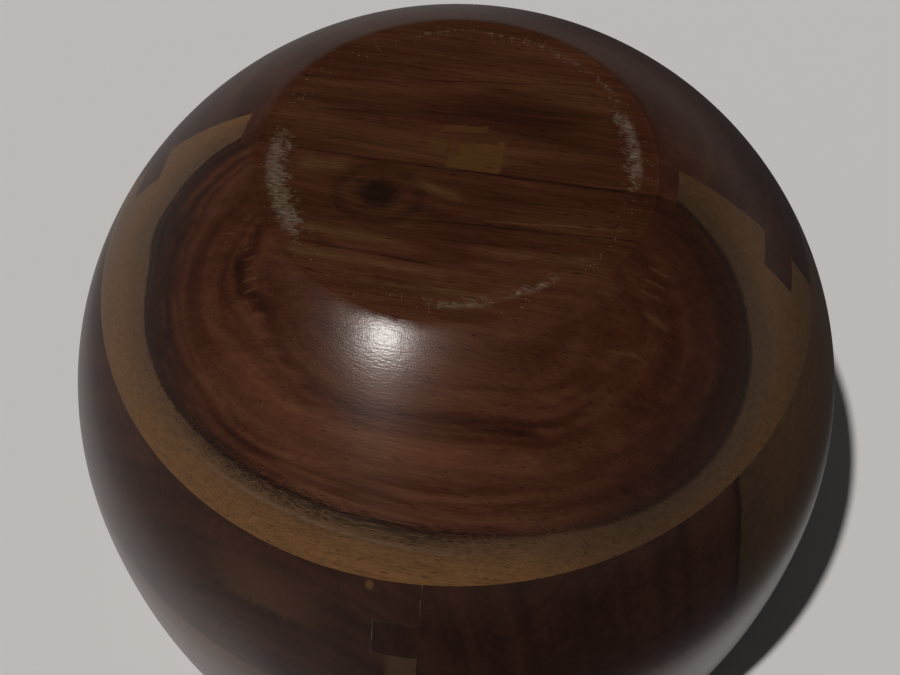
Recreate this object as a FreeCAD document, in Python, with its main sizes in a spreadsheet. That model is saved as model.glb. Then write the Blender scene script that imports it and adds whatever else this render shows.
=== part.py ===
"""A turned wooden bowl, glued up from eight blocks, standing upside down on its rim.

The blank is four layers of thick boards. Each layer is two blocks, joined edge to edge by a
finger joint that runs along their grain, and the grain turns by 90 degrees from layer to layer.
The glued blank is then turned to a deep round bowl with a flat foot.

Frame: millimetres, +Z up through the foot, the rim's flat land on Z = 0 and the turning axis on Z.
X runs along the grain of the foot layer.
"""
import FreeCAD, Part
import math
import os

import Sketcher
from FreeCAD import Vector

os.makedirs("parts", exist_ok=True)
doc = FreeCAD.newDocument("wooden_bowl")

# ---------------------------------------------------------------- driving dimensions
SIZES = {
    # the turned shape
    "belly_radius": 127.0,       # widest circle, and radius of the round side above it
    "belly_height": 72.5,        # height of the widest circle above the rim
    "overall_height": 184.8,     # rim to foot
    "shoulder_height": 162.0,    # where the side starts to turn in faster towards the foot
    "shoulder_radius": 108.0,
    "lower_wall_radius": 305.0,  # the straighter curve from the belly down to the rim
    "wall_thick": 12.0,
    "base_thick": 16.0,
    "hollow_side_radius": 80.0,  # the hollow's corner between the wall and the flatter bottom
    "foot_edge_round": 3.0,
    "rim_edge_round": 4.0,
    # the glued blank
    "layer_thick": 50.0,
    "foot_glue_height": 137.9,   # lower face of the foot layer
    "blank_half_width": 140.0,
    "finger_depth": 12.6,
    "finger_end": 12.3,          # thickness of the finger next to a layer's reference face
    "finger_thin": 11.3,
    "finger_wide": 20.4,
    # how far each layer's joint is centred from the turning axis
    "foot_joint_offset": 3.5,
    "belly_joint_offset": 4.4,
    "wall_joint_offset": -5.0,
    "rim_joint_offset": -3.0,
}

sheet = doc.addObject("Spreadsheet::Sheet", "Sizes")
for row, (alias, value) in enumerate(SIZES.items(), start=1):
    sheet.set(f"A{row}", alias)
    sheet.set(f"B{row}", str(value))
    sheet.setAlias(f"B{row}", alias)
doc.recompute()


def size(alias):
    """Value of a driving dimension, read from the sheet."""
    return float(getattr(sheet, alias))


def cell(alias):
    """Reference to a driving dimension for use in an expression."""
    return f"<<Sizes>>.{alias}"


def new_sketch(body, name, plane_role):
    """Sketch on one of the body's own origin planes."""
    sketch = body.newObject("Sketcher::SketchObject", name)
    plane = [f for f in body.Origin.OriginFeatures if f.Role == plane_role][0]
    sketch.AttachmentSupport = [(plane, "")]
    sketch.MapMode = "FlatFace"
    return sketch


def bind(sketch, kind, where, value, expression):
    """Add a dimension to a sketch and bind it to the sheet."""
    index = sketch.addConstraint(Sketcher.Constraint(kind, *where, value))
    sketch.setExpression(f"Constraints[{index}]", expression)


# ---------------------------------------------------------------- the turned shape
START, END, CENTRE = 1, 2, 3
X_AXIS, Y_AXIS = -1, -2
OUT_OF_PAGE = Vector(0, 0, 1)
SAME_PLACE = 1e-4


def arc(centre, radius, first, last):
    """Arc of a circle in the sketch plane, angles in radians, counter-clockwise."""
    return Part.ArcOfCircle(Part.Circle(centre, OUT_OF_PAGE, radius), first, last)


def turned_half_section(sketch):
    """Half-section of the bowl: sketch X is the radius and sketch Y the height."""
    belly = size("belly_radius")
    middle = size("belly_height")
    height = size("overall_height")
    wall = size("wall_thick")
    lower = size("lower_wall_radius")
    shoulder = size("shoulder_radius")
    side = size("hollow_side_radius")
    hollow_top = height - size("base_thick")

    lower_centre = Vector(belly - lower, middle)
    side_centre = Vector(belly - wall - side, middle)
    # the hollow's bottom curve is centred on the axis and meets the side curve smoothly
    rise = hollow_top - middle
    bottom = (side_centre.x ** 2 + rise ** 2 - side ** 2) / (2 * (rise - side))
    bottom_centre = Vector(0, hollow_top - bottom)
    meet = math.atan2(middle - bottom_centre.y, side_centre.x)

    shoulder_angle = math.asin((size("shoulder_height") - middle) / belly)
    shoulder_centre = Vector((belly - shoulder) * math.cos(shoulder_angle),
                             middle + (belly - shoulder) * math.sin(shoulder_angle))
    foot_angle = math.asin((height - shoulder_centre.y) / shoulder)
    outer_rim_angle = -math.asin(middle / lower)
    inner_rim_angle = -math.asin(middle / (lower - wall))
    foot_corner = Vector(shoulder_centre.x + shoulder * math.cos(foot_angle), height)
    outer_rim = Vector(lower_centre.x + lower * math.cos(outer_rim_angle), 0)
    inner_rim = Vector(lower_centre.x + (lower - wall) * math.cos(inner_rim_angle), 0)

    foot_line = sketch.addGeometry(Part.LineSegment(Vector(0, height), foot_corner))
    shoulder_side = sketch.addGeometry(arc(shoulder_centre, shoulder, shoulder_angle, foot_angle))
    upper_side = sketch.addGeometry(arc(Vector(0, middle), belly, 0, shoulder_angle))
    lower_side = sketch.addGeometry(arc(lower_centre, lower, outer_rim_angle, 0))
    rim_line = sketch.addGeometry(Part.LineSegment(outer_rim, inner_rim))
    hollow_wall = sketch.addGeometry(arc(lower_centre, lower - wall, inner_rim_angle, 0))
    hollow_side = sketch.addGeometry(arc(side_centre, side, 0, meet))
    hollow_bottom = sketch.addGeometry(arc(bottom_centre, bottom, meet, math.pi / 2))
    axis_line = sketch.addGeometry(Part.LineSegment(Vector(0, hollow_top), Vector(0, height)))

    constraints = [
        ("Coincident", foot_line, END, shoulder_side, END),
        ("Tangent", shoulder_side, START, upper_side, END),
        ("Tangent", upper_side, START, lower_side, END),
        ("Coincident", lower_side, START, rim_line, START),
        ("Coincident", rim_line, END, hollow_wall, START),
        ("Coincident", hollow_wall, CENTRE, lower_side, CENTRE),
        ("Tangent", hollow_wall, END, hollow_side, START),
        ("Tangent", hollow_side, END, hollow_bottom, START),
        ("Coincident", hollow_bottom, END, axis_line, START),
        ("Coincident", axis_line, END, foot_line, START),
        ("Horizontal", foot_line),
        ("Horizontal", upper_side, CENTRE, upper_side, START),
        ("PointOnObject", rim_line, START, X_AXIS),
        ("PointOnObject", rim_line, END, X_AXIS),
        ("PointOnObject", axis_line, START, Y_AXIS),
        ("PointOnObject", axis_line, END, Y_AXIS),
        ("PointOnObject", upper_side, CENTRE, Y_AXIS),
        ("PointOnObject", hollow_bottom, CENTRE, Y_AXIS),
        ("Horizontal", lower_side, CENTRE, hollow_wall, END),
    ]
    for constraint in constraints:
        sketch.addConstraint(Sketcher.Constraint(*constraint))
    bind(sketch, "Radius", (upper_side,), belly, cell("belly_radius"))
    bind(sketch, "Radius", (shoulder_side,), shoulder, cell("shoulder_radius"))
    bind(sketch, "DistanceY", (upper_side, END), size("shoulder_height"), cell("shoulder_height"))
    bind(sketch, "Radius", (lower_side,), lower, cell("lower_wall_radius"))
    bind(sketch, "Radius", (hollow_wall,), lower - wall,
         f"{cell('lower_wall_radius')} - {cell('wall_thick')}")
    bind(sketch, "Radius", (hollow_side,), side, cell("hollow_side_radius"))
    bind(sketch, "DistanceY", (upper_side, CENTRE), middle, cell("belly_height"))
    bind(sketch, "DistanceY", (axis_line, END), height, cell("overall_height"))
    bind(sketch, "DistanceY", (axis_line, START, axis_line, END), size("base_thick"),
         cell("base_thick"))


def circular_edges_at(shape, height):
    """Names of a shape's circular edges at one height."""
    names = []
    for number, edge in enumerate(shape.Edges, start=1):
        if edge.Degenerated or not isinstance(edge.Curve, Part.Circle):
            continue
        if abs(edge.Curve.Center.z - height) < SAME_PLACE:
            names.append(f"Edge{number}")
    return names


def rounded_edges(body, base, name, edges, alias):
    """Round a body's edges with a radius from the sheet."""
    fillet = body.newObject("PartDesign::Fillet", name)
    fillet.Base = (base, edges)
    fillet.setExpression("Radius", cell(alias))
    doc.recompute()
    return fillet


def turned_bowl():
    """The whole turned shape, which each block of the blank is cut to."""
    body = doc.addObject("PartDesign::Body", "turned_bowl")
    profile = new_sketch(body, "turned_profile", "XZ_Plane")
    turned_half_section(profile)
    doc.recompute()
    if profile.solve() != 0:
        raise RuntimeError("the turned profile's constraints don't solve")
    turning = body.newObject("PartDesign::Revolution", "turning")
    turning.Profile = profile
    turning.ReferenceAxis = (profile, ["V_Axis"])
    turning.Angle = 360.0
    doc.recompute()
    foot_edges = circular_edges_at(turning.Shape, size("overall_height"))
    foot = rounded_edges(body, turning, "foot_rounding", foot_edges, "foot_edge_round")
    rim_edges = circular_edges_at(foot.Shape, 0.0)
    rounded_edges(body, foot, "rim_rounding", rim_edges, "rim_edge_round")
    return body


# ---------------------------------------------------------------- the glued blank
# Each layer: its name, its lower face, the plane across its grain, whether its fingers are
# counted from its lower face, its joint's offset, and its block on the low and the high side.
LAYERS = [
    ("foot", 0, "YZ_Plane", True, "foot_front_block", "foot_back_block"),
    ("belly", 1, "XZ_Plane", False, "belly_left_block", "belly_right_block"),
    ("wall", 2, "YZ_Plane", True, "wall_front_block", "wall_back_block"),
    ("rim", 3, "XZ_Plane", False, "rim_left_block", "rim_right_block"),
]
# Fingers counted from a layer's reference face; the last one takes what is left of the layer.
FINGERS = ["finger_end", "finger_thin", "finger_wide"]


def step_heights(layers_down, from_below):
    """Expressions for the heights of a layer's faces and of the steps of its joint, upwards."""
    low = f"{cell('foot_glue_height')} - {layers_down} * {cell('layer_thick')}"
    high = f"{low} + {cell('layer_thick')}"
    inner = []
    for count in range(1, len(FINGERS) + 1):
        total = " + ".join(cell(alias) for alias in FINGERS[:count])
        inner.append(f"{low} + {total}" if from_below else f"{high} - ({total})")
    if not from_below:
        inner.reverse()
    return [low] + inner + [high]


def evaluate(expression):
    """Number that an expression of sheet cells stands for."""
    return float(sheet.evalExpression(expression.replace("<<Sizes>>.", "")))


def stock_outline(sketch, heights, offset_alias, reach_first, outward):
    """Closed outline of one block across its grain, with the fingers on its joint side.

    outward is -1 for the block on the low side of the joint and +1 for the one on the high side.
    reach_first tells whether the lowest finger belongs to the low-side block.
    """
    joint = {
        True: f"{cell(offset_alias)} + {cell('finger_depth')} / 2",
        False: f"{cell(offset_alias)} - {cell('finger_depth')} / 2",
    }
    edge = f"{'-' if outward < 0 else ''}{cell('blank_half_width')}"
    corners = []
    reaches = reach_first
    for low, high in zip(heights[:-1], heights[1:]):
        corners.append((joint[reaches], low))
        corners.append((joint[reaches], high))
        reaches = not reaches
    corners.append((edge, heights[-1]))
    corners.append((edge, heights[0]))

    lines = []
    for here, there in zip(corners, corners[1:] + corners[:1]):
        first = Vector(evaluate(here[0]), evaluate(here[1]))
        last = Vector(evaluate(there[0]), evaluate(there[1]))
        lines.append(sketch.addGeometry(Part.LineSegment(first, last)))
    for index, line in enumerate(lines):
        following = lines[(index + 1) % len(lines)]
        across, up = corners[index]
        sketch.addConstraint(Sketcher.Constraint("Coincident", line, END, following, START))
        if index % 2 == 0:
            sketch.addConstraint(Sketcher.Constraint("Vertical", line))
            bind(sketch, "DistanceX", (line, START), evaluate(across), across)
        else:
            sketch.addConstraint(Sketcher.Constraint("Horizontal", line))
            bind(sketch, "DistanceY", (line, START), evaluate(up), up)


def stock_block(name, plane_role, heights, offset_alias, reach_first, outward):
    """Sawn and finger-cut block of the blank, before turning."""
    body = doc.addObject("PartDesign::Body", f"{name}_stock")
    outline = new_sketch(body, f"{name}_outline", plane_role)
    stock_outline(outline, heights, offset_alias, reach_first, outward)
    doc.recompute()
    if outline.solve() != 0:
        raise RuntimeError(f"the outline of {name} doesn't solve")
    length = body.newObject("PartDesign::Pad", f"{name}_length")
    length.Profile = outline
    length.Midplane = True
    length.setExpression("Length", f"2 * {cell('blank_half_width')}")
    return body


def turned_block(name, stock, bowl):
    """What the turning leaves of one block."""
    block = doc.addObject("Part::Common", name)
    block.Label = name
    block.Base = stock
    block.Tool = bowl
    block.Placement = FreeCAD.Placement()
    return block


bowl = turned_bowl()
blocks = []
for layer, down, plane, from_below, low_name, high_name in LAYERS:
    heights = step_heights(down, from_below)
    # the finger at the reference face always belongs to the low-side block
    reach_first = from_below or len(FINGERS) % 2 == 0
    for name, outward in ((low_name, -1), (high_name, 1)):
        stock = stock_block(name, plane, heights, f"{layer}_joint_offset", reach_first, outward)
        blocks.append(turned_block(name, stock, bowl))
doc.recompute()

# ---------------------------------------------------------------- checks and export
VOLUME_TOLERANCE = 2e-4  # of the whole, for the rounding in the volumes of curved solids

for item in doc.Objects:
    if "Invalid" in item.State or "Error" in item.State:
        raise RuntimeError(f"{item.Name} failed: {item.State}")
for block in blocks:
    if block.Shape.isNull() or not block.Shape.isValid() or len(block.Shape.Solids) != 1:
        raise RuntimeError(f"{block.Label} isn't one valid solid")
whole = bowl.Shape.Volume
pieces = sum(block.Shape.Volume for block in blocks)
if abs(pieces - whole) > VOLUME_TOLERANCE * whole:
    raise RuntimeError(f"the blocks hold {pieces:.0f} mm3 of the bowl's {whole:.0f} mm3")
for block in blocks:
    block.Shape.exportStep(f"parts/{block.Label}.step")
print(f"{len(blocks)} blocks, {whole / 1000:.0f} cm3 of wood")
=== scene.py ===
"""A turned wooden bowl, glued up from eight blocks, standing upside down on its rim in the sun.

The blocks are cut from one turned shell by stepped prisms, as their finger joints are cut in the
real blank, and each has its own solid wood: rings round a pith line, fibres and pores along the
grain, and the wear of the foot. Lengths are millimetres until a mesh is made.
"""

import math

import bpy
import numpy as np
from mathutils import Matrix, Vector


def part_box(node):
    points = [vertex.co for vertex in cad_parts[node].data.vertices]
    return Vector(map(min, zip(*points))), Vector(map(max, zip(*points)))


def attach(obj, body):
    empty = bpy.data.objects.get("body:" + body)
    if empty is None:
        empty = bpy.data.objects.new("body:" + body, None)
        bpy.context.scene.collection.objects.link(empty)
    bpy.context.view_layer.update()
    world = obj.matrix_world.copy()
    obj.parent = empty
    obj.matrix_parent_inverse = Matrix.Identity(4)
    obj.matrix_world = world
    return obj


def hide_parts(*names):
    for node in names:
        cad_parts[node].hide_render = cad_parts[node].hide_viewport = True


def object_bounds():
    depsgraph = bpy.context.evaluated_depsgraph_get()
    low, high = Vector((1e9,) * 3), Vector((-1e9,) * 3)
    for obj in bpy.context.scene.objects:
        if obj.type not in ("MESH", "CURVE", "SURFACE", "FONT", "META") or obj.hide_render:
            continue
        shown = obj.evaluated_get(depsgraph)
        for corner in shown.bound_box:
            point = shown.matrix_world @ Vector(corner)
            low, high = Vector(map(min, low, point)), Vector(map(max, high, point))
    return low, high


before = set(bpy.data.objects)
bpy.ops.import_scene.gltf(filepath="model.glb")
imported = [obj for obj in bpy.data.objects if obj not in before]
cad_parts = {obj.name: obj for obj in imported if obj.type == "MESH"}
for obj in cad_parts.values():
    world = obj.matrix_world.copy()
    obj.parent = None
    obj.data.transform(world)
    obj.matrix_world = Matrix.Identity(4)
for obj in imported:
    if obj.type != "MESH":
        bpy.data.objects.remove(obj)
cad_low, cad_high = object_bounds()

MM = 0.001
TO_MM = 1000.0

# ---------------------------------------------------------------- sizes of the turned shape
BELLY_RADIUS = cad_high.x * TO_MM
HEIGHT = cad_high.z * TO_MM
BELLY_HEIGHT = 72.5
SHOULDER_HEIGHT = 162.0
SHOULDER_RADIUS = 108.0
LOWER_WALL_RADIUS = 305.0
WALL = 12.0
BASE = 16.0
HOLLOW_SIDE_RADIUS = 80.0
FOOT_ROUND = 3.0
RIM_ROUND = 4.0

COLUMNS = 720
FOOT_ROW = 0.6
EDGE_ROW = 0.3
OUTER_ROW = 1.1
INNER_ROW = 2.3


def arc(centre, radius, first, last, row):
    """Points of an arc in the radius and height plane, without its last one; angles in degrees."""
    count = max(2, round(abs(math.radians(last - first)) * radius / row))
    turns = np.radians(np.linspace(first, last, count, endpoint=False))
    x = centre[0] + radius * np.cos(turns)
    return np.column_stack((x, centre[1] + radius * np.sin(turns)))


def line(first, last, row):
    """Points of a straight run, without its last one."""
    count = max(2, round(math.dist(first, last) / row))
    share = np.linspace(0.0, 1.0, count, endpoint=False)[:, None]
    return np.array(first) * (1 - share) + np.array(last) * share


def turned_profile():
    """Closed half-section from the middle of the foot, down the outside and up the inside."""
    middle = BELLY_HEIGHT
    shoulder_turn = math.asin((SHOULDER_HEIGHT - middle) / BELLY_RADIUS)
    shoulder_x = (BELLY_RADIUS - SHOULDER_RADIUS) * math.cos(shoulder_turn)
    shoulder_z = middle + (BELLY_RADIUS - SHOULDER_RADIUS) * math.sin(shoulder_turn)
    shoulder_turn = math.degrees(shoulder_turn)
    round_height = HEIGHT - FOOT_ROUND
    foot_turn = math.asin((round_height - shoulder_z) / (SHOULDER_RADIUS - FOOT_ROUND))
    foot_flat = shoulder_x + (SHOULDER_RADIUS - FOOT_ROUND) * math.cos(foot_turn)
    foot_turn = math.degrees(foot_turn)

    lower_x = BELLY_RADIUS - LOWER_WALL_RADIUS
    inner_radius = LOWER_WALL_RADIUS - WALL
    drop = middle - RIM_ROUND
    outer_rim = lower_x + math.sqrt((LOWER_WALL_RADIUS - RIM_ROUND) ** 2 - drop ** 2)
    inner_rim = lower_x + math.sqrt((inner_radius + RIM_ROUND) ** 2 - drop ** 2)
    outer_turn = -math.degrees(math.atan2(drop, outer_rim - lower_x))
    inner_turn = -math.degrees(math.atan2(drop, inner_rim - lower_x))

    side_x = BELLY_RADIUS - WALL - HOLLOW_SIDE_RADIUS
    rise = HEIGHT - BASE - middle
    bottom_radius = side_x ** 2 + rise ** 2 - HOLLOW_SIDE_RADIUS ** 2
    bottom_radius /= 2 * (rise - HOLLOW_SIDE_RADIUS)
    bottom_height = HEIGHT - BASE - bottom_radius
    meet = math.degrees(math.atan2(middle - bottom_height, side_x))

    return np.vstack([
        line((0.0, HEIGHT), (foot_flat, HEIGHT), FOOT_ROW),
        arc((foot_flat, round_height), FOOT_ROUND, 90, foot_turn, EDGE_ROW),
        arc((shoulder_x, shoulder_z), SHOULDER_RADIUS, foot_turn, shoulder_turn, OUTER_ROW),
        arc((0.0, middle), BELLY_RADIUS, shoulder_turn, 0, OUTER_ROW),
        arc((lower_x, middle), LOWER_WALL_RADIUS, 0, outer_turn, OUTER_ROW),
        arc((outer_rim, RIM_ROUND), RIM_ROUND, outer_turn, -90, FOOT_ROW),
        line((outer_rim, 0.0), (inner_rim, 0.0), OUTER_ROW),
        arc((inner_rim, RIM_ROUND), RIM_ROUND, -90, -180 + inner_turn, FOOT_ROW),
        arc((lower_x, middle), inner_radius, inner_turn, 0, INNER_ROW),
        arc((side_x, middle), HOLLOW_SIDE_RADIUS, 0, meet, INNER_ROW),
        arc((0.0, bottom_height), bottom_radius, meet, 90, INNER_ROW),
        [(0.0, HEIGHT - BASE)],
    ])


def new_object(name, vertices, faces):
    """Object at the origin whose mesh is given in millimetres."""
    mesh = bpy.data.meshes.new(name)
    mesh.from_pydata((np.asarray(vertices, float) * MM).tolist(), [], faces)
    mesh.validate()
    piece = bpy.data.objects.new(name, mesh)
    bpy.context.scene.collection.objects.link(piece)
    return piece


def turned_shell():
    """The whole bowl as one closed mesh, turned about Z."""
    profile = turned_profile()
    rows = profile[1:-1]
    turns = np.linspace(0.0, 2 * math.pi, COLUMNS, endpoint=False)
    rings = np.stack([
        rows[:, :1] * np.cos(turns),
        rows[:, :1] * np.sin(turns),
        np.repeat(rows[:, 1:], COLUMNS, axis=1),
    ], axis=-1).reshape(-1, 3)
    vertices = np.vstack([rings, [(0.0, 0.0, profile[0, 1]), (0.0, 0.0, profile[-1, 1])]])
    top, bottom = len(rings), len(rings) + 1

    index = np.arange(len(rings)).reshape(len(rows), COLUMNS)
    following = np.roll(index, -1, axis=1)
    quads = np.stack([index[:-1], index[1:], following[1:], following[:-1]], axis=-1)
    faces = quads.reshape(-1, 4).tolist()
    faces += [(top, a, b) for a, b in zip(index[0].tolist(), following[0].tolist())]
    faces += [(bottom, b, a) for a, b in zip(index[-1].tolist(), following[-1].tolist())]
    return new_object("turned_shell", vertices, faces)


# ---------------------------------------------------------------- the glued blocks
LAYER = 50.0
FOOT_GLUE_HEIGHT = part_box("foot_front_block")[0].z * TO_MM
BLANK_HALF = 140.0
FINGERS = (12.3, 11.3, 20.4)   # heights of the fingers, counted from a layer's reference face

# Each layer: which axis its grain runs along, whether its fingers are counted from its lower
# face, and its block on the low and on the high side of the joint.
LAYERS = [
    ("X", True, "foot_front_block", "foot_back_block"),
    ("Y", False, "belly_left_block", "belly_right_block"),
    ("X", True, "wall_front_block", "wall_back_block"),
    ("Y", False, "rim_left_block", "rim_right_block"),
]


def joint_bands(count, grain, from_below, low_name, high_name):
    """Bands of a layer's joint, upwards: lower height, upper height and the joint's place."""
    low = FOOT_GLUE_HEIGHT - count * LAYER
    marks = np.cumsum(FINGERS)
    steps = low + marks if from_below else (low + LAYER - marks)[::-1]
    heights = [low, *steps.tolist(), low + LAYER]
    across = 1 if grain == "X" else 0
    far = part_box(low_name)[1][across] * TO_MM
    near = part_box(high_name)[0][across] * TO_MM
    reaches = from_below
    bands = []
    for lower, upper in zip(heights[:-1], heights[1:]):
        bands.append((lower, upper, far if reaches else near))
        reaches = not reaches
    return bands


def stepped_prism(name, grain, bands, outward):
    """Sawn block with its fingers: an outline across the grain, drawn out along the grain."""
    outline = []
    for lower, upper, plane in bands:
        outline += [(plane, lower), (plane, upper)]
    outline += [(outward * BLANK_HALF, bands[-1][1]), (outward * BLANK_HALF, bands[0][0])]
    ends = []
    for along in (-BLANK_HALF, BLANK_HALF):
        for across, height in outline:
            ends.append((along, across, height) if grain == "X" else (across, along, height))
    count = len(outline)
    faces = [list(range(count)), list(range(2 * count - 1, count - 1, -1))]
    for first in range(count):
        second = (first + 1) % count
        faces.append([first, first + count, second + count, second])
    prism = new_object(name, ends, faces)
    # the outline's turn differs from side to side, so the faces are turned outwards here
    if (outward > 0) != (grain == "X"):
        prism.data.flip_normals()
    return prism


def apply_modifiers(piece):
    """Replace a piece's mesh by what its modifiers make of it."""
    graph = bpy.context.evaluated_depsgraph_get()
    mesh = bpy.data.meshes.new_from_object(piece.evaluated_get(graph))
    piece.modifiers.clear()
    piece.data = mesh


SHARP_ANGLE = math.radians(30)


def cut_block(name, shell, prism):
    """What the turning leaves of one block."""
    piece = shell.copy()
    piece.data = shell.data.copy()
    piece.name = name
    bpy.context.scene.collection.objects.link(piece)
    cut = piece.modifiers.new("cut", "BOOLEAN")
    cut.operation = "INTERSECT"
    cut.solver = "MANIFOLD"
    cut.object = prism
    apply_modifiers(piece)
    piece.data.name = name
    piece.data.shade_smooth()
    piece.data.set_sharp_from_angle(angle=SHARP_ANGLE)
    return piece


# ---------------------------------------------------------------- the worn foot
FOOT_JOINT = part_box("foot_back_block")[0].y * TO_MM
FOOT_EDGE = 56.3
FOOT_BAND = 0.05         # points this near to the foot's height are on its flat
SAME_PLACE = 0.01
WEAR_RADIUS = 51.0       # the ring that the bowl stands on when it is the right way up
DISH = 0.3               # how far the middle of the foot is below that ring
ROLL_OFF = 0.2           # how far the foot's outer edge is below it

# where the joint has opened across the foot, and how deep the gap is
GAP_FROM, GAP_TO = 1.0, 46.0
GAP_RUN_OUT = 8.0
GAP_HALF = 0.3
GAP_DEPTH = 0.7

# where a thin flake of the back block is worn through and the sapwood under it shows
FLAKE_LEFT, FLAKE_RIGHT, FLAKE_BACK = -3.0, 12.7, 7.4
FLAKE_DEPTH = 0.25
FLAKE_SOFT, FLAKE_STEEP = 0.4, 0.3


def eased(value, low, high):
    """0 at low, 1 at high, with a soft turn at both, for arrays; low may be the larger."""
    share = np.clip((value - low) / (high - low), 0.0, 1.0)
    return share * share * (3 - 2 * share)


def wear_foot(piece):
    """Dish the foot, roll off its edge, open its joint and sink the worn flake."""
    mesh = piece.data
    places = np.empty(len(mesh.vertices) * 3)
    mesh.vertices.foreach_get("co", places)
    places = places.reshape(-1, 3) / MM
    flat = places[:, 2] > HEIGHT - FOOT_BAND
    x, y = places[flat, 0], places[flat, 1]
    reach = np.hypot(x, y)
    drop = DISH * np.clip(1 - (reach / WEAR_RADIUS) ** 2, 0, 1)
    drop += ROLL_OFF * np.clip((reach - WEAR_RADIUS) / (FOOT_EDGE - WEAR_RADIUS), 0, 1) ** 2
    gap = eased(x, GAP_FROM, GAP_FROM + GAP_RUN_OUT) * eased(x, GAP_TO, GAP_TO - GAP_RUN_OUT)
    drop += GAP_DEPTH * gap * eased(np.abs(y - FOOT_JOINT), GAP_HALF, 0.0)
    flake = eased(x, FLAKE_LEFT - FLAKE_SOFT, FLAKE_LEFT + FLAKE_SOFT)
    flake *= eased(x, FLAKE_RIGHT + FLAKE_STEEP, FLAKE_RIGHT - FLAKE_STEEP)
    flake *= eased(y, FLAKE_BACK + FLAKE_SOFT, FLAKE_BACK - FLAKE_SOFT)
    flake *= y > FOOT_JOINT - SAME_PLACE
    places[flat, 2] -= drop + FLAKE_DEPTH * flake
    mesh.vertices.foreach_set("co", (places * MM).ravel())
    mesh.update()


def build_blocks():
    """The eight blocks and the bands of their joints, by name."""
    shell = turned_shell()
    blocks = {}
    joints = {}
    for count, layer in enumerate(LAYERS):
        bands = joint_bands(count, *layer)
        for name, outward in ((layer[2], -1), (layer[3], 1)):
            prism = stepped_prism(f"{name}_stock", layer[0], bands, outward)
            blocks[name] = cut_block(name + "_wood", shell, prism)
            joints[name] = bands
            bpy.data.objects.remove(prism)
    bpy.data.objects.remove(shell)
    wear_foot(blocks["foot_front_block"])
    wear_foot(blocks["foot_back_block"])
    return blocks, joints


# ---------------------------------------------------------------- shader arithmetic
SPECK_CORE = 0.55        # how much of a speck's radius is full
SHARE_SOFT = 0.02


class Value:
    """A number, place or colour that varies over a surface, with arithmetic on it."""

    def __init__(self, tree, socket):
        self.tree = tree
        self.socket = socket

    def math(self, operation, *others):
        inputs = dict(enumerate((self, *others)))
        return add_node(self.tree, "ShaderNodeMath", inputs, operation=operation)

    def __add__(self, other):
        return self.math("ADD", other)

    def __sub__(self, other):
        return self.math("SUBTRACT", other)

    def __mul__(self, other):
        return self.math("MULTIPLY", other)

    def __truediv__(self, other):
        return self.math("DIVIDE", other)

    def __neg__(self):
        return self * -1.0

    def __rsub__(self, other):
        return self * -1.0 + other

    __radd__ = __add__
    __rmul__ = __mul__


def feed(tree, socket, value):
    """Set a node's input to another node's output, a number, a colour or a place."""
    if isinstance(value, Value):
        tree.links.new(value.socket, socket)
    elif isinstance(value, tuple) and socket.type == "RGBA":
        socket.default_value = (*value, 1.0)
    else:
        socket.default_value = value


def add_node(tree, kind, inputs, output=0, **settings):
    """New shader node with its settings and inputs; returns one of its outputs."""
    node = tree.nodes.new(kind)
    for name, setting in settings.items():
        setattr(node, name, setting)
    for name, value in inputs.items():
        feed(tree, node.inputs[name], value)
    return Value(tree, node.outputs[output])


def place(x, y, z):
    """A place from three numbers, of which the first varies."""
    return add_node(x.tree, "ShaderNodeCombineXYZ", {0: x, 1: y, 2: z})


def split(tree, where):
    """The three numbers of a place."""
    node = tree.nodes.new("ShaderNodeSeparateXYZ")
    feed(tree, node.inputs[0], where)
    return [Value(tree, output) for output in node.outputs]


def noise(where, detail=2.0, roughness=0.5):
    """Cloudy pattern from 0 to 1, with lumps about one unit of the place wide."""
    inputs = {"Vector": where, "Scale": 1.0, "Detail": detail, "Roughness": roughness}
    return add_node(where.tree, "ShaderNodeTexNoise", inputs)


def smooth(value, low, high):
    """0 at low, 1 at high, with a soft turn at both; low may be the larger."""
    inputs = {"Value": value, "From Min": low, "From Max": high}
    kind = "ShaderNodeMapRange"
    return add_node(value.tree, kind, inputs, interpolation_type="SMOOTHSTEP")


def ridge(value, centre, half):
    """1 at the centre, falling softly to 0 at half a width either side."""
    return smooth((value - centre).math("ABSOLUTE"), half, 0.0)


def specks(where, size, share):
    """1 in a round speck in some of the unit cells of the place, elsewhere 0."""
    tree = where.tree
    node = tree.nodes.new("ShaderNodeTexVoronoi")
    feed(tree, node.inputs["Vector"], where)
    feed(tree, node.inputs["Scale"], 1.0)
    distance = Value(tree, node.outputs["Distance"])
    chance = split(tree, Value(tree, node.outputs["Color"]))[0]
    speck = smooth(distance, size, size * SPECK_CORE)
    return speck * smooth(chance, share + SHARE_SOFT, share - SHARE_SOFT)


def between(value, low, high):
    """1 from low to high, falling to 0 over the width of a glue line's edge."""
    return smooth(value, low - GLUE_EDGE, low) * smooth(value, high + GLUE_EDGE, high)


def mix(share, first, second):
    """Colour between two colours."""
    inputs = {0: share, 6: first, 7: second}
    return add_node(share.tree, "ShaderNodeMix", inputs, output=2, data_type="RGBA")


def scaled(colour, factor):
    """Colour made brighter or darker."""
    inputs = {0: colour, "Scale": factor}
    tree = colour.tree if isinstance(colour, Value) else factor.tree
    return add_node(tree, "ShaderNodeVectorMath", inputs, operation="SCALE")


def ramp(value, stops):
    """Colour read from a list of (position, colour) stops."""
    node = value.tree.nodes.new("ShaderNodeValToRGB")
    feed(value.tree, node.inputs[0], value)
    elements = node.color_ramp.elements
    elements[0].position, elements[1].position = stops[0][0], stops[-1][0]
    elements[0].color, elements[1].color = (*stops[0][1], 1), (*stops[-1][1], 1)
    for position, colour in stops[1:-1]:
        elements.new(position).color = (*colour, 1)
    return Value(value.tree, node.outputs[0])


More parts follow.
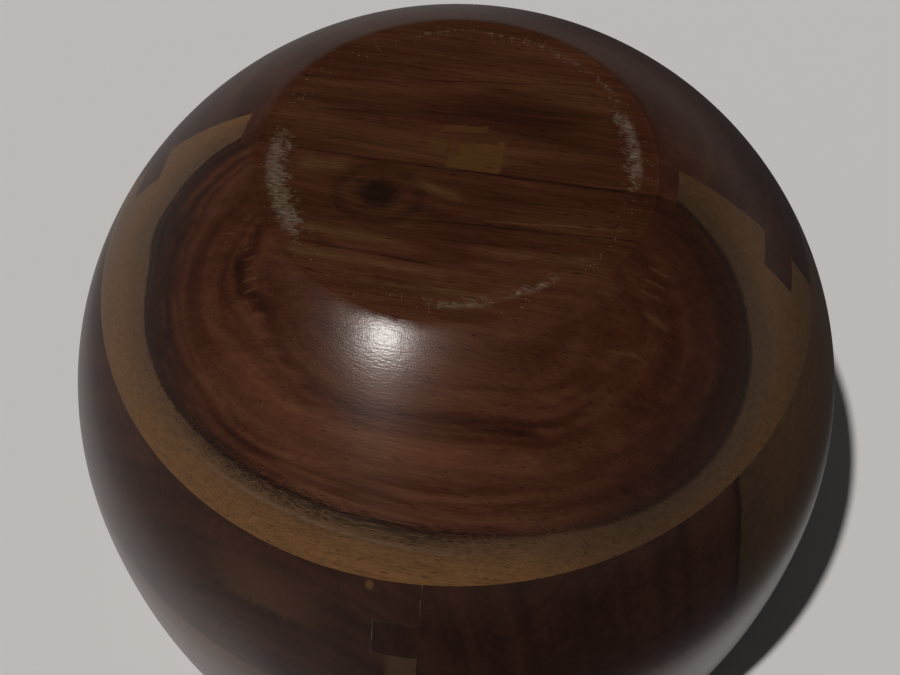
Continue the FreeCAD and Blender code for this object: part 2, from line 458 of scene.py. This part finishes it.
def length(*parts):
    """Length of the line whose sides are the parts."""
    total = parts[0] * parts[0]
    for part in parts[1:]:
        total = total + part * part
    return total.math("SQRT")


# ---------------------------------------------------------------- wood
HEART_STOPS = [
    (0.0, (0.0100, 0.0034, 0.0022)),
    (0.3, (0.0300, 0.0085, 0.0040)),
    (0.5, (0.0530, 0.0156, 0.0073)),
    (0.75, (0.0930, 0.0325, 0.0158)),
    (1.0, (0.1380, 0.0550, 0.0250)),
]
SAP_INNER = (0.098, 0.050, 0.024)
SAP_OUTER = (0.150, 0.068, 0.023)
PORE_COLOUR = (0.010, 0.0040, 0.0026)
SCUFF_COLOUR = (0.195, 0.140, 0.110)
GLUE_COLOUR = (0.16, 0.12, 0.09)
CRACK_COLOUR = (0.0070, 0.0032, 0.0024)
PALE_FIBRE = (0.15, 0.070, 0.030)
END_GRAIN_DARKENING = 0.30
VARNISH_ROUGHNESS = 0.36
VARNISH_SHINE = 0.17
BRUSHED = 0.65
POLISH = 0.33
POLISH_ROUGHNESS = 0.22
GLOSS_TINT = (1.0, 0.88, 0.80)
BARE_TINT = (0.98, 1.10, 0.94)
BARE_ROUGHNESS = 0.7
BARE_SHINE = 0.03
PEEL_BUMP, FIBRE_BUMP, PORE_BUMP = 0.016, 0.034, 0.006    # millimetres
TORN_BUMP, TORN_PORE_BUMP = 0.14, 0.08
KNOT_PUSH = 0.8          # how much of the way off the knot the fibres are pushed
SECTOR_SOFT = 7          # degrees
STROKE_WAVE = 14
PORE_SHARE, PORE_DEPTH = 0.3, 0.6
GLUE_HALF, GLUE_EDGE = 0.30, 0.2


class Wood:
    """One block's material, and the places in its own tree that its patterns are drawn in.

    along runs down the grain; across and up are measured from the pith; ring is the distance from
    the pith, which wanders a little as real growth rings do. Numbers that a place is divided by
    are the size of a pattern's lumps in millimetres.
    """

    def __init__(self, name, grain, pith, seed, lean=(0.0, 0.0), wander=3.0, knot=None):
        self.material = bpy.data.materials.new(name)
        self.material.use_nodes = True
        self.tree = self.material.node_tree
        self.tree.nodes.clear()
        self.seed = seed
        self.grain = grain
        where = add_node(self.tree, "ShaderNodeTexCoord", {}, "Object")
        self.x, self.y, self.z = [part / MM for part in split(self.tree, where)]
        self.reach = length(self.x, self.y)
        normal = add_node(self.tree, "ShaderNodeTexCoord", {}, "Normal")
        facing = dict(zip("XYZ", split(self.tree, normal)))
        self.end_grain = facing[grain].math("ABSOLUTE")
        self.along, sideways = (self.x, self.y) if grain == "X" else (self.y, self.x)
        if knot:
            sideways = sideways - self.pushed_by_knot(sideways, *knot)
        self.across = sideways - (self.along * lean[0] + pith[0])
        self.up = self.z - (self.along * lean[1] + pith[1])
        drift = noise(place(self.along / 90 + seed, self.across / 40, self.up / 40), detail=1)
        self.ring = length(self.across, self.up) + (drift - 0.5) * wander

    def pushed_by_knot(self, sideways, along, across, reach, half):
        """How far the grain is pushed aside at a knot."""
        away = (self.along - along) / reach
        beside = (sideways - across) / half
        near = (-(away * away + beside * beside)).math("EXPONENT")
        return (sideways - across) * near * KNOT_PUSH

    def grained(self, long, wide):
        """Place for a pattern whose lumps are long down the grain and thin across it."""
        return place(self.along / long + self.seed, self.across / wide, self.up / wide)

    def towards(self, azimuth, half):
        """1 in a sector round the turning axis, softly ending; angles in degrees."""
        turn = math.radians(azimuth)
        facing = (self.x * math.cos(turn) + self.y * math.sin(turn)) / self.reach
        outside = math.cos(math.radians(half + SECTOR_SOFT))
        return smooth(facing, outside, math.cos(math.radians(half - SECTOR_SOFT)))

    def stroke(self, first, last, half, wander=1.4, taper=5.0):
        """1 on a wavering line across the foot, from one (x, y) to another."""
        run = math.dist(first, last)
        step_x, step_y = (last[0] - first[0]) / run, (last[1] - first[1]) / run
        away_x, away_y = self.x - first[0], self.y - first[1]
        down = away_x * step_x + away_y * step_y
        beside = away_y * step_x - away_x * step_y
        waver = noise(place(down / STROKE_WAVE, first[0], first[1]), 3.0) - 0.5
        ends = smooth(down, -1.0, taper) * smooth(down, run + 1.0, run - taper)
        return ridge(beside + waver * wander, 0.0, half) * ends

    def heart(self, rings=(), banding=0.9, faded=0.0):
        """Tone of the red-brown heartwood; rings are (distance from pith, half width, tone)."""
        layered = place(self.ring / 3.8, self.along / 120 + self.seed, self.across / 90)
        bands = noise(layered, 3.0, 0.5)
        streaks = noise(self.grained(42, 2.4), 2.0)
        fibres = noise(self.grained(15, 0.5), 2.0)
        hairs = noise(self.grained(8, 0.22))
        clouds = noise(self.grained(45, 16), 2.0)
        tone = 0.5 + (bands - 0.5) * (1 - faded * 0.6) * banding + (clouds - 0.5) * 0.35
        fine = (fibres - 0.5) * 0.40 + (hairs - 0.5) * 0.25
        tone = tone + (streaks - 0.5) * 0.30 + fine * (1 - self.end_grain * 0.75)
        shaken = self.ring + (clouds - 0.5) * 6 + (streaks - 0.5) * 1.5
        presence = noise(place(self.x / 28, self.y / 28, self.z / 28 + self.seed)) * 1.5
        presence = presence * (1 - smooth(self.x, 28.0, 58.0) * 0.75)
        for distance, half, change in rings:
            tone = tone + ridge(shaken, distance, half) * presence * (1 - faded * 0.75) * change
        return tone

    def sap(self, begins):
        """Colour of the sapwood: greyish next to the heartwood and golden further out."""
        base = mix(smooth(self.ring, begins, begins + 12), SAP_INNER, SAP_OUTER)
        streaks = noise(self.grained(40, 1.6), 2.0)
        fibres = noise(self.grained(8, 0.28), 3.0, 0.6)
        dashes = specks(self.grained(3.4, 0.5), 0.32, 0.8)
        shade = 1 + (streaks - 0.5) * 0.7 + (fibres - 0.5) * (1.5 - self.end_grain * 0.8)
        shade = shade - dashes * (0.45 - self.end_grain * 0.36)
        return scaled(base, shade)

    def pores(self, share):
        """Open pores: dashes down the grain, dots across it."""
        return specks(self.grained(6.5, 1.0), 0.24, share)

    def glue_lines(self, colour, bands):
        """Thin lines of old glue where the fingers of the block's joint come to the surface."""
        side = self.y if self.grain == "X" else self.x
        spots = noise(place(self.x / 5, self.y / 5, self.z / 5 + self.seed * 3))
        broken = smooth(spots, 0.47, 0.62)
        lines = broken * 0.0
        for lower, upper, plane in bands:
            inside = between(self.z, lower, upper)
            lines = lines.math("MAXIMUM", ridge(side, plane, GLUE_HALF) * inside)
        inside = between(side, *sorted((bands[0][2], bands[1][2])))
        for lower, _, _ in bands[1:]:
            lines = lines.math("MAXIMUM", ridge(self.z, lower, GLUE_HALF) * inside * 0.35)
        return mix(lines * (broken * 0.6 + 0.08), colour, GLUE_COLOUR)

    def satin_bump(self):
        """The varnish's fine unevenness over the fibres, in millimetres."""
        orange_peel = noise(place(self.x / 0.40, self.y / 0.40, self.z / 0.40), 1.0)
        fibres = noise(self.grained(2.6, 0.5), 2.0)
        return orange_peel * PEEL_BUMP + fibres * FIBRE_BUMP

    def finish(self, colour, pores, bare=None):
        """Close the material: satin varnish, and bare dry wood where the last input is 1."""
        darkening = 1 - self.end_grain * self.end_grain * END_GRAIN_DARKENING
        bump = self.satin_bump() - pores * PORE_BUMP
        roughness, shine, polish = VARNISH_ROUGHNESS, VARNISH_SHINE, POLISH
        if bare:
            torn = noise(self.grained(12, 0.5), 3.0, 0.6) * TORN_BUMP - pores * TORN_PORE_BUMP
            bump = bump + (torn - bump) * bare
            roughness = bare * (BARE_ROUGHNESS - VARNISH_ROUGHNESS) + VARNISH_ROUGHNESS
            shine = bare * (BARE_SHINE - VARNISH_SHINE) + VARNISH_SHINE
            polish = (1 - bare) * POLISH
            inputs = {0: colour, 1: BARE_TINT}
            dry = add_node(self.tree, "ShaderNodeVectorMath", inputs, operation="MULTIPLY")
            patches = smooth(noise(self.grained(34, 9), 2.0), 0.40, 0.62)
            colour = mix(bare * patches, colour, dry)
        normal = add_node(self.tree, "ShaderNodeBump", {"Height": bump, "Distance": MM})
        crosswise = {"X" if self.grain == "Y" else "Y": 1.0}
        shader = add_node(self.tree, "ShaderNodeBsdfPrincipled", {
            "Base Color": scaled(colour, darkening),
            "Roughness": roughness,
            "Anisotropic": BRUSHED,
            "Tangent": add_node(self.tree, "ShaderNodeCombineXYZ", crosswise),
            "Specular IOR Level": shine,
            "Specular Tint": GLOSS_TINT,
            "Coat Weight": polish,
            "Coat Roughness": POLISH_ROUGHNESS,
            "Normal": normal,
            "Coat Normal": normal,
        })
        output = self.tree.nodes.new("ShaderNodeOutputMaterial")
        self.tree.links.new(shader.socket, output.inputs["Surface"])
        return self.material


# the plain blocks' sapwood (only the right belly block has any) is darkened to this share: partly
# its own duller brown, partly painted shade for the side turned from the light
SAP_DULLING_AND_PAINTED_SHADE = 0.52


def plain_wood(name, grain, pith, seed, sap_from, tone, bands, marks=None):
    """Varnished block, with sapwood beyond a distance from its pith if one is given."""
    wood = Wood(name, grain, pith, seed)
    colour = ramp(wood.heart(banding=0.45) + tone, HEART_STOPS)
    if sap_from:
        ragged = (noise(wood.grained(9, 1.2)) - 0.5) * 1.5
        edge = wood.ring + ragged
        colour = mix(ridge(edge, sap_from - 0.6, 1.2) * 0.7, colour, CRACK_COLOUR)
        # darkened sapwood: its own duller brown and painted shade
        sap = scaled(wood.sap(sap_from), SAP_DULLING_AND_PAINTED_SHADE)
        colour = mix(smooth(edge, sap_from - 0.4, sap_from + 0.4), colour, sap)
    if marks:
        colour = marks(wood, colour)
    colour = wood.glue_lines(colour, bands)
    pores = wood.pores(PORE_SHARE)
    return wood.finish(mix(pores * PORE_DEPTH, colour, PORE_COLOUR), pores)


def tongue_marks(wood, colour):
    """Sapwood on one finger of the left belly block, and a paler brown patch further left."""
    front = smooth(wood.y, 0.0, -10.0)
    finger = smooth(wood.z, 114.6, 113.8) * smooth(wood.x, 1.0, 4.0) * front
    colour = mix(finger * 0.75, colour, SAP_INNER)
    fleck = length(wood.x + 3.4, (wood.z - 136.0) * 0.8)
    colour = mix(smooth(fleck, 1.5, 0.6) * front * 0.8, colour, SAP_OUTER)
    teeth = noise(place(wood.x / 1.6, wood.seed, wood.z / 9)) * 7
    patch = ridge(wood.x, -34.0, 24.0) * smooth(wood.z + teeth, 119.5, 122.5) * front
    patch = patch * smooth(wood.z, 136.0, 126.0)
    return mix(patch * 0.30, colour, PALE_FIBRE)


# ---------------------------------------------------------------- wear on the foot
# Scuffed arcs of the foot: azimuth and half its sector in degrees, radius, half width, strength.
SCUFFS = [
    (201, 22, 50.9, 6.4, 0.86),
    (15, 16, 50.6, 4.6, 0.80),
    (58, 24, 53.0, 2.2, 0.48),
    (96, 16, 53.0, 1.4, 0.42),
    (-78, 9, 51.0, 3.6, 0.72),
    (-57, 8, 50.2, 2.8, 0.70),
]
KNOT = (-19.1, -16.2)
KNOT_REACH, KNOT_HALF = 13.0, 7.0
BARE_REACH = (60.5, 56.0)       # where the bare face ends, outwards and downwards
BARE_HEIGHT = (179.8, 181.8)


def bare_face(wood):
    """1 on the bare face of the foot, with a slightly ragged edge."""
    ragged = noise(place(wood.x / 3, wood.y / 3, wood.z / 3)) - 0.5
    return smooth(wood.reach + ragged * 2.0, *BARE_REACH) * smooth(wood.z, *BARE_HEIGHT)


def scuffed(wood, colour, bare):
    """Pale rubbed fibres and grit marks round the ring that the foot stands on."""
    hairs = noise(place(wood.x / 2.2, wood.y / 0.20, wood.z / 3.0), 3.0, 0.7) - 0.5
    lumps = noise(place(wood.x / 2.0, wood.y / 2.0, wood.z / 2.0), 3.0, 0.6) - 0.5
    total = hairs * 0.0
    for azimuth, half, radius, width, strength in SCUFFS:
        ring = ridge(wood.reach + lumps * 4.5 + hairs * 4.0, radius, width)
        total = total.math("MAXIMUM", ring * wood.towards(azimuth, half) * strength)
    rubbed = smooth(total + hairs * 1.6 + lumps * 1.5, 0.34, 0.95) * smooth(total, 0.02, 0.2)
    fine = specks(place(wood.x / 1.1, wood.y / 1.1, wood.z / 1.1), 0.24, 0.28)
    coarse = specks(place(wood.x / 2.6, wood.y / 1.8, wood.z / 2.6), 0.20, 0.20)
    grit = fine.math("MAXIMUM", coarse) * ridge(wood.reach + lumps * 3.0, WEAR_RADIUS + 1.0, 5.0)
    strands = smooth(noise(place(wood.x / 2.8, wood.y / 0.30, 0.0), 3.0, 0.6), 0.38, 0.62)
    share = (rubbed * (strands * 0.66 + 0.16)).math("MAXIMUM", grit * 0.7) * bare
    return mix(share, colour, SCUFF_COLOUR)


def foot_wood(name, pith, seed, **shape):
    """Wood of a foot block, and the share of its surface that is bare."""
    wood = Wood(name, "X", pith, seed, **shape)
    return wood, bare_face(wood)


def strokes(wood, colour, bare, lines, paint, roughness):
    """Paint lines over the bare face; each is (first, last, half width, share)."""
    fibres = smooth(noise(wood.grained(9, 0.35), 2.0, 0.6), 0.30, 0.62)
    broken = (fibres * roughness + (1 - roughness)) * bare
    for first, last, half, share in lines:
        colour = mix(wood.stroke(first, last, half) * broken * share, colour, paint)
    return colour


# ---------------------------------------------------------------- the eight blocks' woods
FRONT_RINGS = [
    (79.6, 1.2, -0.12), (84.2, 1.5, -0.42), (86.4, 0.8, -0.10), (91.0, 4.0, 0.14),
    (95.5, 0.9, -0.10), (98.3, 1.6, -0.24), (101.8, 1.0, -0.14),
]
FRONT_SAP = 105.4
FRONT_PITH = (-79.0, 254.5)
FRONT_LEAN = (-0.0254, -0.0464)     # how the pith runs off its line, for each step along the grain
FRONT_CRACKS = [
    ((-50.0, -3.4), (-1.0, -3.9), 0.50, 0.8),
    ((-2.0, -3.7), (51.0, -3.3), 0.85, 0.95),
    ((-13.0, -18.4), (6.0, -21.2), 3.2, 0.40),
    ((-39.0, -35.9), (2.0, -38.0), 1.1, 0.6),
    ((-6.0, -23.4), (56.0, -20.2), 0.6, 0.75),
    ((4.0, -12.8), (40.0, -11.4), 0.5, 0.35),
    ((-12.0, -29.0), (24.0, -28.4), 0.7, 0.30),
]
FRONT_FIBRES = [
    ((10.0, -20.6), (52.0, -17.2), 0.45, 0.5),
    ((-40.0, -39.4), (6.0, -41.0), 2.2, 0.50),
    ((-46.0, -9.0), (-28.0, -7.0), 5.0, 0.42),
    ((-12.0, -9.0), (6.0, -15.0), 3.0, 0.34),
    ((8.0, -31.5), (46.0, -29.5), 3.0, 0.38),
    ((-40.0, -31.0), (-8.0, -32.0), 1.8, 0.30),
    ((-20.0, -46.5), (20.0, -46.0), 1.6, 0.32),
]
TOOL_STROKES = [
    ((57.0, -38.6), (65.5, -40.4), 1.5, 0.30),
    ((49.0, -52.0), (58.0, -50.0), 0.9, 0.22),
    ((54.5, -49.5), (61.5, -51.0), 1.2, 0.24),
    ((-60.0, -33.6), (-55.5, -34.0), 0.5, 0.30),
]


def boundary_marks(wood, colour):
    """The dark outline of the heartwood: black streaks at the front left, solid at the sides."""
    streaks = noise(wood.grained(13, 0.34), 3.0, 0.65)
    front_left = smooth(wood.x, 50.0, 5.0) * smooth(wood.x, -75.0, -45.0)
    front_left = front_left * smooth(wood.y, -35.0, -60.0)
    close = ridge(wood.ring, FRONT_SAP + 0.3, 4.8)
    fringe = smooth(streaks + close * 0.22, 0.58, 0.74) * smooth(close, 0.0, 0.3) * front_left
    pale = ridge(wood.ring, FRONT_SAP + 4.6, 0.9)
    pale = pale * smooth(wood.x, -70.0, -40.0) * smooth(wood.x, 32.0, 5.0)
    colour = mix(pale * smooth(streaks, 0.35, 0.6) * 0.35, colour, SCUFF_COLOUR)
    right = smooth(wood.x, 35.0, 62.0) * smooth(wood.ring, 103.2, 105.0)
    right = right * smooth(wood.ring, 106.2, 105.4) * (0.32 + smooth(streaks, 0.4, 0.6) * 0.30)
    line = ridge(wood.ring + (streaks - 0.5) * 2, FRONT_SAP - 0.4, 1.0)
    line = line * smooth(streaks, 0.35, 0.6) * 0.75
    left = smooth(wood.x, -50.0, -66.0) * ridge(wood.ring, 105.0, 0.9)
    solid = right.math("MAXIMUM", left * 0.35).math("MAXIMUM", line)
    colour = mix(fringe * 0.70, colour, CRACK_COLOUR)
    return mix(solid, colour, CRACK_COLOUR)


def knot_marks(wood, colour):
    """A dark knot with a darker eye."""
    swirl = (noise(place(wood.x / 2.5, wood.y / 1.5, 0.0), 2.0) - 0.5) * 3.0
    off = length((wood.x - KNOT[0]) * 0.9, (wood.y - KNOT[1]) * 1.05) + swirl
    colour = mix(smooth(off, 8.0, 2.6) * 0.82, colour, CRACK_COLOUR)
    return mix(ridge(off, 10.5, 2.8) * 0.30, colour, CRACK_COLOUR)


def rungs(wood, centre, half, low, high, slant, spacing):
    """A row of short ticks along the grain, from one y to another."""
    waver = (noise(place(wood.x / 9, wood.y / 5, wood.seed)) - 0.5) * 1.6
    turn = (wood.y - wood.x * slant + waver) * (2 * math.pi / spacing)
    lines = smooth(turn.math("COSINE"), 0.60, 1.0)
    ends = (noise(place(wood.y / 1.5, wood.seed, 0.0)) - 0.5) * 5.0
    reach = (wood.x - centre + ends).math("ABSOLUTE")
    row = smooth(reach, half + 0.6, half - 0.6) * smooth(wood.y, low - 1.0, low + 1.0)
    return lines * row * smooth(wood.y, high + 1.0, high - 1.0)


def chatter(wood, colour):
    """Short pale ticks and soft strokes that the turning tool left beside the foot."""
    left = rungs(wood, (wood.y + 33.0) * -0.25 - 51.3, 1.9, -53.5, -32.5, 0.22, 3.1)
    right = rungs(wood, 59.5, 2.8, -34.0, -25.0, -0.02, 3.6)
    low = (noise(wood.grained(5, 2), 2.0) * 0.5 + 0.75) * smooth(wood.z, 182.8, 181.0)
    colour = mix(left.math("MAXIMUM", right) * low * 0.30, colour, PALE_FIBRE)
    for first, last, half, share in TOOL_STROKES:
        mark = wood.stroke(first, last, half, 0.5, 2.0)
        colour = mix(mark * share, colour, PALE_FIBRE)
    return colour


def soft_patches(wood, tone):
    """Broad light and dark clouds in the front block's heartwood."""
    front = ridge(wood.x, -5.0, 78.0) * smooth(wood.y, -48.0, -75.0)
    cloud = ridge(length((wood.x + 12.0) / 20, (wood.z - 157.5) / 4), 0.0, 1.0)
    lower = smooth(wood.y, -24.0, -38.0) * smooth(wood.z, 181.5, 183.0)
    sides = smooth(wood.x.math("ABSOLUTE"), 50.0, 75.0)
    outer = smooth(wood.x, 35.0, 60.0) * smooth(wood.ring, 95.0, 102.0)
    return tone + front * 0.24 - cloud * 0.22 + lower * 0.08 - sides * 0.08 - outer * 0.12


def foot_front_wood():
    """Heartwood cap with a knot, ringed by sapwood."""
    knot = (*KNOT, KNOT_REACH, KNOT_HALF)
    wood, bare = foot_wood("foot_front_wood", FRONT_PITH, 3.1, lean=FRONT_LEAN,
                           wander=2.5, knot=knot)
    inner = smooth(wood.ring, 98.0, 86.0)
    wood.ring = wood.ring - wood.towards(188, 9) * 3.4 + wood.towards(-98, 30) * inner * 2.0
    calm = 0.85 - smooth(wood.x, 28.0, 58.0) * 0.4
    heart = ramp(soft_patches(wood, wood.heart(FRONT_RINGS, calm, bare)), HEART_STOPS)
    ragged = (noise(wood.grained(12, 0.8), 3.0, 0.6) - 0.5) * 3.0
    sap = scaled(wood.sap(FRONT_SAP), 1 - ridge(wood.x, 66.0, 34.0) * 0.35)
    fuzzy = smooth(wood.x, -20.0, 40.0) + 0.4
    colour = mix(smooth((wood.ring + ragged - FRONT_SAP) / fuzzy, -1.0, 1.0), heart, sap)
    colour = boundary_marks(wood, colour)
    colour = chatter(wood, colour)
    colour = knot_marks(wood, colour)
    colour = strokes(wood, colour, bare, FRONT_FIBRES, PALE_FIBRE, 0.9)
    colour = strokes(wood, colour, bare, FRONT_CRACKS, CRACK_COLOUR, 0.5)
    colour = scuffed(wood, colour, bare)
    pits = specks(place(wood.along / 13 + 0.4, wood.across / 8, wood.up / 8), 0.055, 0.6)
    colour = mix(pits * 0.75, colour, CRACK_COLOUR)
    pores = wood.pores(PORE_SHARE)
    return wood.finish(mix(pores * PORE_DEPTH, colour, PORE_COLOUR), pores, bare)


BACK_CRACKS = [
    ((-55.0, 24.6), (-15.0, 28.0), 0.4, 0.6),
    ((-16.0, 29.5), (32.0, 35.7), 0.4, 0.6),
    ((-44.0, 12.6), (10.0, 19.0), 1.0, 0.45),
    ((-8.0, 21.0), (48.0, 24.0), 1.6, 0.35),
    ((14.0, 13.0), (50.0, 10.0), 2.2, 0.35),
    ((-40.0, 3.0), (0.0, 0.5), 0.8, 0.4),
]
FLAKE_COLOUR = (0.085, 0.034, 0.011)


def flake_marks(wood, colour, bare):
    """Where the back block is worn through to the sapwood, and thin where it nearly is."""
    jag = (noise(place(wood.x / 2.2, wood.y / 0.8, wood.seed), 3.0, 0.65) - 0.5) * 6.0
    notch = smooth(wood.y, 0.5, 3.0) * smooth(wood.x, 5.0, -1.0) * 3.5
    main = smooth(wood.x + jag * 0.8 - notch, FLAKE_LEFT - 0.3, FLAKE_LEFT + 0.3)
    main = main * smooth(wood.x + jag * 0.3, FLAKE_RIGHT + 0.3, FLAKE_RIGHT)
    main = main * smooth(wood.y + jag - wood.x * 0.12, FLAKE_BACK - 0.2, FLAKE_BACK - 0.7)
    thin = smooth(wood.x + jag, -10.0, -8.0) * smooth(wood.x + jag, 0.0, -2.5)
    thin = thin * ridge(wood.y + jag + wood.x * 0.5, 3.0, 6.0)
    bar = smooth(wood.x + jag, -6.8, -5.8) * smooth(wood.x + jag, 7.3, 6.7)
    bar = bar * smooth((wood.y - wood.x * 0.13 - 12.3 + jag * 0.3).math("ABSOLUTE"), 1.5, 1.1)
    share = (main * 0.85).math("MAXIMUM", thin * 0.5).math("MAXIMUM", bar * 0.7)
    grainy = scaled(FLAKE_COLOUR, 0.62 + noise(wood.grained(7, 0.4), 3.0, 0.65) * 0.72)
    return mix(share * bare, colour, grainy)


def foot_back_wood():
    """Dark heartwood, worn through at one flake."""
    wood, bare = foot_wood("foot_back_wood", (60.0, 330.0), 7.7, wander=6.0)
    dusk = length((wood.x - 14.0) / 34, (wood.y - 20.0) / 15)
    tone = wood.heart(banding=0.6) - 0.03 - ridge(dusk, 0.0, 1.0) * 0.13
    colour = ramp(tone, HEART_STOPS)
    colour = strokes(wood, colour, bare, BACK_CRACKS, CRACK_COLOUR, 0.5)
    colour = flake_marks(wood, colour, bare)
    colour = scuffed(wood, colour, bare)
    pores = wood.pores(PORE_SHARE)
    return wood.finish(mix(pores * PORE_DEPTH, colour, PORE_COLOUR), pores, bare)


# The other blocks: grain axis, pith, seed, where the sapwood begins and how much paler it is.
PLAIN_WOODS = {
    "belly_left_block": ("Y", (-30.0, 60.0), 11.3, None, -0.12),
    "belly_right_block": ("Y", (-92.0, 86.0), 15.9, 190.4, -0.16),
    "wall_front_block": ("X", (-20.0, 150.0), 21.3, None, 0.06),
    "wall_back_block": ("X", (40.0, 150.0), 25.1, None, -0.06),
    "rim_left_block": ("Y", (-60.0, 130.0), 31.7, None, 0.10),
    "rim_right_block": ("Y", (50.0, -90.0), 37.9, None, -0.03),
}


def block_material(name, slot, bands):
    """The material of one block."""
    if name == "foot_front_block":
        return foot_front_wood()
    if name == "foot_back_block":
        return foot_back_wood()
    marks = tongue_marks if name == "belly_left_block" else None
    return plain_wood(slot, *PLAIN_WOODS[name], bands, marks)


def finish_blocks():
    """Make the eight blocks, give each its wood and put it in its CAD node's place."""
    blocks, joints = build_blocks()
    for name, piece in blocks.items():
        slot = name.replace("_block", "_wood")
        piece.data.materials.clear()
        piece.data.materials.append(block_material(name, slot, joints[name]))
        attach(piece, "root")
        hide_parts(name)


# ---------------------------------------------------------------- floor, light and camera
FLOOR_HALF = 8.0
GROUND_COLOUR = (0.80, 0.78, 0.765)
# shares of the ground's colour that the bowl's gloss sees, in the open and at the front and right:
# painted shade in its reflections
REFLECTED_GROUND_PAINTED_DIM = 0.46
REFLECTED_GROUND_PAINTED_SHADOW = 0.08

SUN_FROM = (230.0, 66.1)        # azimuth and elevation in degrees
SUN_STRENGTH = 2.03
SUN_SPREAD = 2.0
SUN_COLOUR = (1.0, 0.985, 0.965)
SKY_STOPS = [
    (0.0, (0.20, 0.195, 0.185)),
    (0.10, (0.13, 0.13, 0.125)),
    (0.25, (0.065, 0.065, 0.064)),
    (0.42, (0.035, 0.036, 0.034)),
]

CAMERA_AIM = (-5.2, 17.1, BELLY_HEIGHT)
CAMERA_FROM = (-79.36, 54.83)
CAMERA_DISTANCE = 496.9
CAMERA_ROLL = -0.2
LENS_LENGTH = 56.0
SENSOR_WIDTH = 36.0


def ground_material():
    """Matt pale ground, even to the camera; the bowl's gloss sees it darker, a painted shadow in
    its reflections: darker everywhere but close beside the bowl, and darker still towards the
    front and the right, where whoever looks at the bowl stands in the light. Places here are in
    metres.
    """
    paint = bpy.data.materials.new("pale_ground")
    paint.use_nodes = True
    tree = paint.node_tree
    x, y, _ = split(tree, add_node(tree, "ShaderNodeTexCoord", {}, "Object"))
    distance = length(x, y)
    # painted shadow in reflections: the gloss sees the front and right of the ground darker, for
    # the onlooker's shadow; close beside the bowl the ground stays as it is, except in a strip in
    # front
    shade = smooth(x, -0.10, 0.05) * smooth(distance, 1.2, 0.6)
    in_front = smooth(x, -0.10, 0.0) * smooth(x, 0.12, 0.08) * smooth(y, 0.0, -0.06)
    nearer = distance - smooth(x, -0.05, -0.14) * 0.08
    beyond = smooth(nearer, 0.15, 0.19).math("MAXIMUM", in_front)
    painted_shade_in_gloss = (1 - REFLECTED_GROUND_PAINTED_DIM + shade * (REFLECTED_GROUND_PAINTED_DIM - REFLECTED_GROUND_PAINTED_SHADOW)) * beyond
    mirrored = add_node(tree, "ShaderNodeLightPath", {}, "Is Glossy Ray")
    colour = scaled(GROUND_COLOUR, 1 - mirrored * painted_shade_in_gloss)
    paper = tree.nodes["Principled BSDF"]
    feed(tree, paper.inputs["Base Color"], colour)
    paper.inputs["Roughness"].default_value = 0.9
    return paint


def build_floor():
    """Plain pale ground, large enough to reach the horizon in the bowl's reflections."""
    half = FLOOR_HALF / MM
    corners = [(-half, -half, 0), (half, -half, 0), (half, half, 0), (-half, half, 0)]
    floor = new_object("floor", corners, [(0, 1, 2, 3)])
    floor.data.materials.append(ground_material())


def direction(azimuth, elevation):
    """Unit vector, azimuth counter-clockwise from +X, both in degrees."""
    turn, lift = math.radians(azimuth), math.radians(elevation)
    flat = math.cos(lift)
    return Vector((flat * math.cos(turn), flat * math.sin(turn), math.sin(lift)))


def build_light():
    """One strong light high on the left and a dim sky that pales towards the horizon."""
    lamp = bpy.data.lights.new("sun", "SUN")
    lamp.energy = SUN_STRENGTH
    lamp.angle = math.radians(SUN_SPREAD)
    lamp.color = SUN_COLOUR
    sun = bpy.data.objects.new("sun", lamp)
    sun.rotation_mode = "QUATERNION"
    sun.rotation_quaternion = direction(*SUN_FROM).to_track_quat("Z", "Y")
    bpy.context.scene.collection.objects.link(sun)

    world = bpy.data.worlds.new("sky")
    world.use_nodes = True
    bpy.context.scene.world = world
    tree = world.node_tree
    height = split(tree, add_node(tree, "ShaderNodeTexCoord", {}, "Generated"))[2]
    feed(tree, tree.nodes["Background"].inputs["Color"], ramp(height, SKY_STOPS))


def build_camera():
    """Camera above the front of the bowl, looking down on the foot."""
    back = direction(*CAMERA_FROM)
    lens = bpy.data.cameras.new("camera")
    lens.lens = LENS_LENGTH
    lens.sensor_width = SENSOR_WIDTH
    camera = bpy.data.objects.new("camera", lens)
    turned = back.to_track_quat("Z", "Y").to_matrix().to_4x4()
    roll = Matrix.Rotation(math.radians(CAMERA_ROLL), 4, "Z")
    spot = (Vector(CAMERA_AIM) + back * CAMERA_DISTANCE) * MM
    camera.matrix_world = Matrix.Translation(spot) @ turned @ roll
    bpy.context.scene.collection.objects.link(camera)
    bpy.context.scene.camera = camera


finish_blocks()
build_floor()
build_light()
build_camera()
bpy.context.scene.view_settings.view_transform = "Standard"

bpy.context.view_layer.update()
